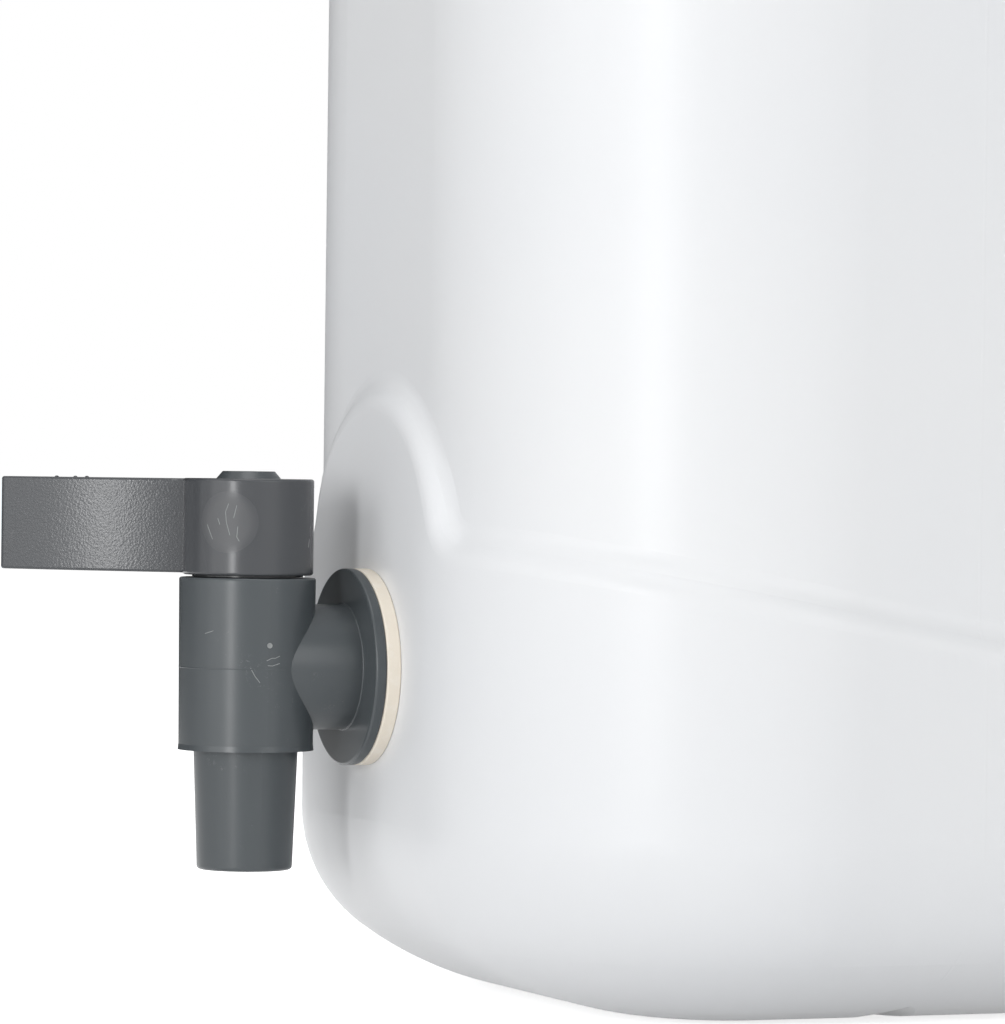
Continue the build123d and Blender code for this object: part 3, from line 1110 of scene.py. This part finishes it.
@dataclass
class Spigot:
    """The tap: body, turning plug and lever, its seals, its nut and its moulding marks."""

    nodes: dict[str, bpy.types.Object]
    finishes: Finishes
    nib_radius: float = 0.5 * MM
    nib_height: float = 0.3 * MM
    nib_reaches: tuple[float, ...] = (46.3 * MM, 41.8 * MM, 39.0 * MM)
    gate_radius: float = 0.65 * MM
    gate_height: float = 0.2 * MM
    gate_at: tuple[float, float] = (90.4, 5.5 * MM)
    witness_width: float = 0.3 * MM
    witness_height: float = 0.06 * MM
    witness_half_angle: float = 108.0
    witness_points: int = 72
    worn_degrees: float = 53.0
    worn_reach: float = 15.35 * MM
    worn_above_arm: float = 34.0 * MM
    tip_depth: float = 3.0 * MM
    probe_reach: float = 50.0 * MM
    probe_above: float = 20.0 * MM
    crease_degrees: float = 32.0
    score_width: float = 0.16 * MM
    score_height: float = 0.04 * MM
    score_steps: int = 4
    # Each score is a name, the node that it is on, and its corners as an angle about the
    # plug and a height above the arm's axis in millimetres.
    scores: tuple[tuple[str, str, tuple[tuple[float, float], ...]], ...] = (
        ("head_score_1", "lever", ((53.5, 38.3), (50.7, 36.4), (51.5, 34.0), (54.8, 31.0))),
        ("head_score_2", "lever", ((60.7, 37.9), (58.0, 35.0))),
        ("head_score_3", "lever", ((61.8, 33.0), (61.0, 30.6), (63.2, 29.6))),
        ("head_score_4", "lever", ((43.4, 34.9), (45.5, 33.4))),
        ("head_score_5", "lever", ((32.6, 33.4), (38.4, 30.0))),
        ("head_score_6", "lever", ((139.6, 30.2), (137.2, 28.2))),
        ("barrel_score_1", "tap_body", ((87.8, 2.0), (92.5, 2.6), (95.6, 2.6), (99.8, 3.1))),
        ("barrel_score_2", "tap_body", ((88.9, 0.9), (93.0, 0.8), (99.9, 1.4))),
        ("barrel_score_3", "tap_body", ((74.2, 0.3), (78.0, -1.6), (82.3, -3.1))),
        ("barrel_score_4", "tap_body", ((33.1, 8.1), (41.8, 8.8))),
    )

    def __post_init__(self) -> None:
        """Reads the skins that carry marks once."""
        self.skins = {name: Skin(self.nodes[name]) for name in ("lever", "tap_body")}

    def build(self) -> list[bpy.types.Object]:
        """Dresses the tap's nodes and adds the marks.

        Returns:
            The pieces that were added.
        """
        slots = {
            "tap_body": Slot.TAP,
            "tap_plug": Slot.TAP,
            "backnut": Slot.TAP,
            "lever": Slot.LEVER,
            "flange_gasket": Slot.GASKET,
            "inner_gasket": Slot.GASKET,
            "o_ring_lower": Slot.O_RING,
            "o_ring_upper": Slot.O_RING,
        }
        for name, slot in slots.items():
            smooth_by_angle(self.nodes[name], self.crease_degrees)
            self.finishes.dress(self.nodes[name], slot)
        return [*self.nibs(), self.gate_mark(), self.witness_line(), *self.score_marks()]

    @staticmethod
    def plug_axis() -> Vector:
        """The point where the plug's axis meets the floor."""
        low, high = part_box("o_ring_lower")
        return Vector(((low.x + high.x) / 2, (low.y + high.y) / 2, 0))

    @staticmethod
    def arm_height() -> float:
        """The height of the arm's axis."""
        low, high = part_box("flange_gasket")
        return (low.z + high.z) / 2

    @staticmethod
    def spoke(degrees: float) -> Vector:
        """The level direction at an angle about the plug, from straight out towards +X."""
        angle = math.radians(degrees)
        return Vector((math.sin(angle), -math.cos(angle), 0))

    @classmethod
    def worn_place(cls) -> Vector:
        """The middle of the place on the lever's head that thumbs have rubbed."""
        height = cls.arm_height() + cls.worn_above_arm
        return cls.plug_axis() + cls.spoke(cls.worn_degrees) * cls.worn_reach + UP * height

    def around(
        self, node: str, points: Sequence[tuple[float, float]]
    ) -> tuple[list[Vector], list[Vector]]:
        """Lays points on a skin from outside, seen from the plug's axis.

        Args:
            node: the node that carries them.
            points: their angles about the plug and their heights above the arm's axis.

        Returns:
            The points on the skin and its normals there.
        """
        spokes = [self.spoke(degrees) for degrees, _height in points]
        starts = [
            self.plug_axis() + spoke * self.probe_reach + UP * (self.arm_height() + height)
            for spoke, (_degrees, height) in zip(spokes, points)
        ]
        return self.skins[node].trace(starts, [-spoke for spoke in spokes])

    def lever_way(self) -> Vector:
        """The direction that the lever points in at rest, level."""
        centre = self.plug_axis()
        spokes = [
            Vector((v.co.x - centre.x, v.co.y - centre.y, 0))
            for v in self.nodes["lever"].data.vertices
        ]
        reach = max(spoke.length for spoke in spokes)
        tips = [spoke for spoke in spokes if spoke.length > reach - self.tip_depth]
        return (sum(tips, Vector()) / len(tips)).normalized()

    def nibs(self) -> list[bpy.types.Object]:
        """Builds the small nibs that the mould's pins left on the lever's top edge."""
        start_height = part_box("lever")[1].z + self.probe_above
        way = self.lever_way()
        nibs = []
        for number, reach in enumerate(self.nib_reaches, start=1):
            start = self.plug_axis() + way * reach + UP * start_height
            found = self.skins["lever"].hit(start, -UP)
            if found is None:
                continue
            nib = Pip(f"lever_nib_{number}", self.nib_radius, self.nib_height).build(*found)
            nibs.append(self.on_tap(nib, Body.PLUG))
        return nibs

    def gate_mark(self) -> bpy.types.Object:
        """Builds the ring that the injection gate left on the barrel."""
        places, normals = self.around("tap_body", [self.gate_at])
        mark = Pip("gate_mark", self.gate_radius, self.gate_height, dished=True)
        ring = mark.build(places[0], normals[0])
        return self.on_tap(ring, Body.VESSEL, self.finishes.whitened)

    def witness_line(self) -> bpy.types.Object:
        """Builds the fine line round the barrel where its mould's halves met."""
        half = self.witness_half_angle
        points = [(2 * half * share - half, 0.0) for share in shares(self.witness_points)]
        bead = SurfaceBead(self.witness_width, self.witness_height)
        line = bead.build("witness_line", *self.around("tap_body", points))
        return self.on_tap(line, Body.VESSEL)

    def score_marks(self) -> list[bpy.types.Object]:
        """Builds the burrs that scratches have raised on the head and the barrel."""
        bodies = {"lever": Body.PLUG, "tap_body": Body.VESSEL}
        bead = SurfaceBead(self.score_width, self.score_height)
        marks = []
        for name, node, corners in self.scores:
            points = [
                (
                    angle + (next_angle - angle) * share,
                    (height + (next_height - height) * share) * MM,
                )
                for (angle, height), (next_angle, next_height) in zip(corners, corners[1:])
                for share in shares(self.score_steps)[:-1]
            ]
            points.append((corners[-1][0], corners[-1][1] * MM))
            mark = bead.build(name, *self.around(node, points))
            marks.append(self.on_tap(mark, bodies[node], self.finishes.whitened))
        return marks

    def on_tap(
        self,
        piece: bpy.types.Object,
        body: Body,
        finish: bpy.types.Material | None = None,
    ) -> bpy.types.Object:
        """Dresses a mark of the tap and makes it ride.

        Args:
            piece: the mark.
            body: the body that it rides on.
            finish: a finish in place of the body's own.

        Returns:
            The same piece.
        """
        slot = Slot.LEVER if body is Body.PLUG else Slot.TAP
        self.finishes.dress(piece, slot, finish)
        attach(piece, body.value)
        return piece


@dataclass(frozen=True)
class SoftBox:
    """A lamp with a white sheet in front, aimed at the object. Its power is in watts."""

    name: str
    azimuth: float
    elevation: float
    distance: float
    width: float
    height: float
    power: float


SOFT_BOXES = (
    SoftBox("key_box", 41.0, 4.5, 1.9, 0.22, 0.60, 10.2),
    SoftBox("front_box", 18.0, 12.0, 2.2, 1.20, 1.20, 10.0),
    SoftBox("top_box", 50.0, 75.0, 2.2, 1.20, 1.20, 13.0),
    SoftBox("side_box", 110.0, 20.0, 2.2, 1.20, 1.20, 10.5),
    SoftBox("back_box", 225.0, 40.0, 2.2, 1.20, 1.20, 10.0),
)


@dataclass
class Studio:
    """A white sweep, soft boxes, a black card and the camera."""

    azimuth: float = 65.2
    distance: float = 1.341
    eye_height: float = 0.1278
    yaw_left: float = 2.956
    pitch_down: float = 0.44
    roll: float = 0.7
    focal_pixels: float = 5500.0
    frame_height_pixels: float = 1024.0
    sensor_mm: float = 36.0
    clip_end: float = 100.0
    world_strength: float = 0.30
    boxes: tuple[SoftBox, ...] = SOFT_BOXES
    box_aim_height: float = 0.15
    flag_azimuth: float = -62.0
    flag_distance: float = 1.0
    flag_width: float = 1.8
    flag_height: float = 1.2
    floor_size: float = 60.0

    @staticmethod
    def outward(azimuth: float, elevation: float = 0.0) -> Vector:
        """The direction from the object towards a viewer at that angle, in degrees."""
        a = math.radians(azimuth)
        e = math.radians(elevation)
        return Vector((math.sin(a) * math.cos(e), -math.cos(a) * math.cos(e), math.sin(e)))

    def build(self) -> None:
        """Sets up the camera, the floor, the world and the lamps."""
        self.camera()
        self.floor()
        self.world()
        self.lamps()
        self.flag()
        bpy.context.scene.view_settings.view_transform = "Standard"

    def camera(self) -> None:
        """Stands the camera level with the tap, turned and rolled as a hand-framed shot is."""
        data = bpy.data.cameras.new("camera")
        data.sensor_width = self.sensor_mm
        data.lens = self.focal_pixels / self.frame_height_pixels * self.sensor_mm
        data.clip_end = self.clip_end
        camera = bpy.data.objects.new("camera", data)
        bpy.context.scene.collection.objects.link(camera)
        back = self.outward(self.azimuth)
        level = Matrix((UP.cross(back), UP, back)).transposed()
        turn = Matrix.Rotation(math.radians(self.yaw_left), 3, "Y")
        tilt = Matrix.Rotation(-math.radians(self.pitch_down), 3, "X")
        lean = Matrix.Rotation(math.radians(self.roll), 3, "Z")
        pose = (level @ turn @ tilt @ lean).to_4x4()
        pose.translation = back * self.distance + UP * self.eye_height
        camera.matrix_world = pose
        bpy.context.scene.camera = camera

    def floor(self) -> None:
        """Lays the sweep at the height of the vessel's foot."""
        half = self.floor_size / 2
        corners = [Vector((x * half, y * half, 0)) for x, y in SQUARE]
        sweep = mesh_piece("sweep", corners, [(0, 1, 2, 3)])
        sweep.data.materials.append(PaleSweep().build())

    def world(self) -> None:
        """Fills the room with soft white light and shows pure white to the camera."""
        world = bpy.data.worlds.new("white_room")
        bpy.context.scene.world = world
        world.use_nodes = True
        tree = world.node_tree
        tree.nodes.clear()
        output = tree.nodes.new("ShaderNodeOutputWorld")
        strength = add_node(
            tree,
            "ShaderNodeMapRange",
            {"To Min": self.world_strength, "To Max": 1.0},
            {"Value": seen_rays(tree)},
        )
        glow = add_node(
            tree,
            "ShaderNodeBackground",
            {"Color": linear("#FFFFFF")},
            {"Strength": strength.outputs["Result"]},
        )
        tree.links.new(glow.outputs["Background"], output.inputs["Surface"])

    def lamps(self) -> None:
        """Hangs the soft boxes: a tall one left of the camera, one overhead, one at the side."""
        for box in self.boxes:
            data = bpy.data.lights.new(box.name, "AREA")
            data.shape = "RECTANGLE"
            data.size = box.width
            data.size_y = box.height
            data.energy = box.power
            lamp = bpy.data.objects.new(box.name, data)
            way = self.outward(box.azimuth, box.elevation)
            lamp.location = way * box.distance + UP * self.box_aim_height
            lamp.rotation_euler = way.to_track_quat("Z", "Y").to_euler()
            bpy.context.scene.collection.objects.link(lamp)

    def flag(self) -> None:
        """Stands a black card left of the set, which only gloss sees, to paint dark reflections in
        rims.
        """
        middle = self.outward(self.flag_azimuth) * self.flag_distance
        across = self.outward(self.flag_azimuth + 90) * self.flag_width / 2
        up = UP * self.flag_height
        corners = [middle - across, middle + across, middle + across + up, middle - across + up]
        card = mesh_piece("black_card", corners, [(0, 1, 2, 3)])
        card.data.materials.append(BlackCard().build())
        # Hidden from all but glossy rays, the card casts no shade and shows only as a painted dark
        # reflection.
        for ray in ("camera", "diffuse", "shadow", "transmission", "volume_scatter"):
            setattr(card, f"visible_{ray}", False)


def main() -> None:
    """Loads the frame, dresses each sub-assembly and sets up the studio."""
    logging.basicConfig(level=logging.INFO, format="%(name)s: %(message)s")
    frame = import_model()
    finishes = Finishes(Spigot.plug_axis(), Spigot.worn_place())
    builders: tuple[tuple[str, Callable[[], list[bpy.types.Object]]], ...] = (
        ("vessel", Vessel(frame["nodes"], finishes).build),
        ("screw cap", ScrewCap(frame["nodes"], finishes).build),
        ("spigot", Spigot(frame["nodes"], finishes).build),
    )
    for name, build in builders:
        for piece in build():
            log.info("%s: added %s, %d faces", name, piece.name, len(piece.data.polygons))
    Studio().build()


if __name__ == "__main__":
    main()
